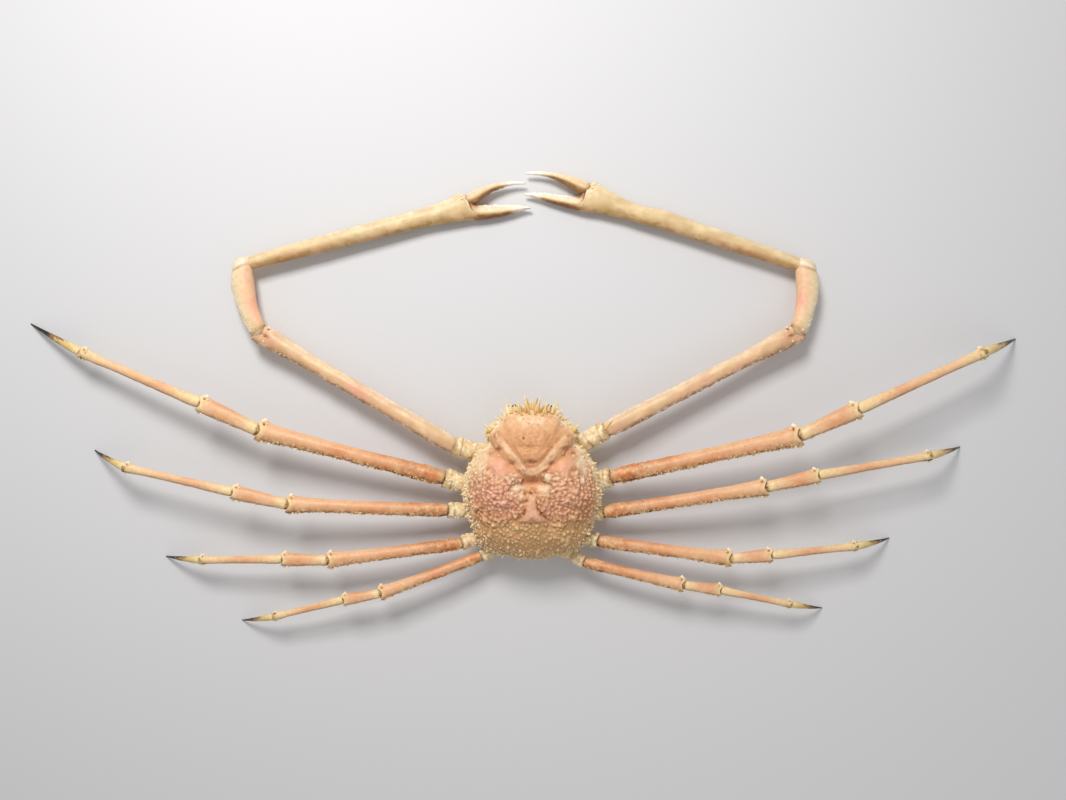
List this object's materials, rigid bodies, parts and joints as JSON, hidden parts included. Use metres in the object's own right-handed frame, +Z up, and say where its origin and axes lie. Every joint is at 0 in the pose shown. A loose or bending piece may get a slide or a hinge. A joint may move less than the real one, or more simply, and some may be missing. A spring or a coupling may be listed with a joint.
{
  "type": "japanese spider crab",
  "caption": "Life-size still spider crab specimen lying on its belly, long walking legs spread and both claw arms folded forward.",
  "frame": {"origin": "middle of the belly's resting flat, on the floor under the centre of the carapace", "axes": "+X to the crab's own right, +Y towards the rostrum, +Z up"},
  "size_m": [2.1008, 0.9529, 0.168],
  "materials": {
    "back_shell": "dry knobbly shell, orange-tan over the stomach, pink over the gills, tan to the rear, soft satin",
    "belly_shell": "smooth pale cream shell, satin",
    "leg_base_shell": "pale yellow shell, satin",
    "thigh_shell": "salmon-orange shell with cream spinules, satin",
    "knee_shell": "peach shell paling to yellow at the joints, satin",
    "shin_shell": "peach-cream shell, satin",
    "toe_shell": "yellow-tan at the joint darkening to a near-black horny tip",
    "claw_shell": "cream-yellow shell with an orange blush, white finger tips, satin",
    "eye": "dark glossy dried eye",
    "feeler": "pale yellow, satin"
  },
  "bodies": {
    "root": {"carapace": "back_shell", "underside": "belly_shell", "tail_flap": "belly_shell", "left_leg_1_base": "leg_base_shell", "left_leg_1_merus": "thigh_shell", "left_leg_1_carpus": "knee_shell", "left_leg_1_propodus": "shin_shell", "left_leg_1_dactyl": "toe_shell", "left_leg_2_base": "leg_base_shell", "left_leg_2_merus": "thigh_shell", "left_leg_2_carpus": "knee_shell", "left_leg_2_propodus": "shin_shell", "left_leg_2_dactyl": "toe_shell", "left_leg_3_base": "leg_base_shell", "left_leg_3_merus": "thigh_shell", "left_leg_3_carpus": "knee_shell", "left_leg_3_propodus": "shin_shell", "left_leg_3_dactyl": "toe_shell", "left_leg_4_base": "leg_base_shell", "left_leg_4_merus": "thigh_shell", "left_leg_4_carpus": "knee_shell", "left_leg_4_propodus": "shin_shell", "left_leg_4_dactyl": "toe_shell", "left_claw_base": "leg_base_shell", "left_claw_merus": "thigh_shell", "left_claw_carpus": "claw_shell", "left_claw_propodus": "claw_shell", "left_claw_dactyl": "claw_shell", "eye_left": "eye", "antenna_left": "feeler", "mouthplate_left": "belly_shell", "right_leg_1_base": "leg_base_shell", "right_leg_1_merus": "thigh_shell", "right_leg_1_carpus": "knee_shell", "right_leg_1_propodus": "shin_shell", "right_leg_1_dactyl": "toe_shell", "right_leg_2_base": "leg_base_shell", "right_leg_2_merus": "thigh_shell", "right_leg_2_carpus": "knee_shell", "right_leg_2_propodus": "shin_shell", "right_leg_2_dactyl": "toe_shell", "right_leg_3_base": "leg_base_shell", "right_leg_3_merus": "thigh_shell", "right_leg_3_carpus": "knee_shell", "right_leg_3_propodus": "shin_shell", "right_leg_3_dactyl": "toe_shell", "right_leg_4_base": "leg_base_shell", "right_leg_4_merus": "thigh_shell", "right_leg_4_carpus": "knee_shell", "right_leg_4_propodus": "shin_shell", "right_leg_4_dactyl": "toe_shell", "right_claw_base": "leg_base_shell", "right_claw_merus": "thigh_shell", "right_claw_carpus": "claw_shell", "right_claw_propodus": "claw_shell", "right_claw_dactyl": "claw_shell", "eye_right": "eye", "antenna_right": "feeler", "mouthplate_right": "belly_shell"}
  },
  "joints": []
}
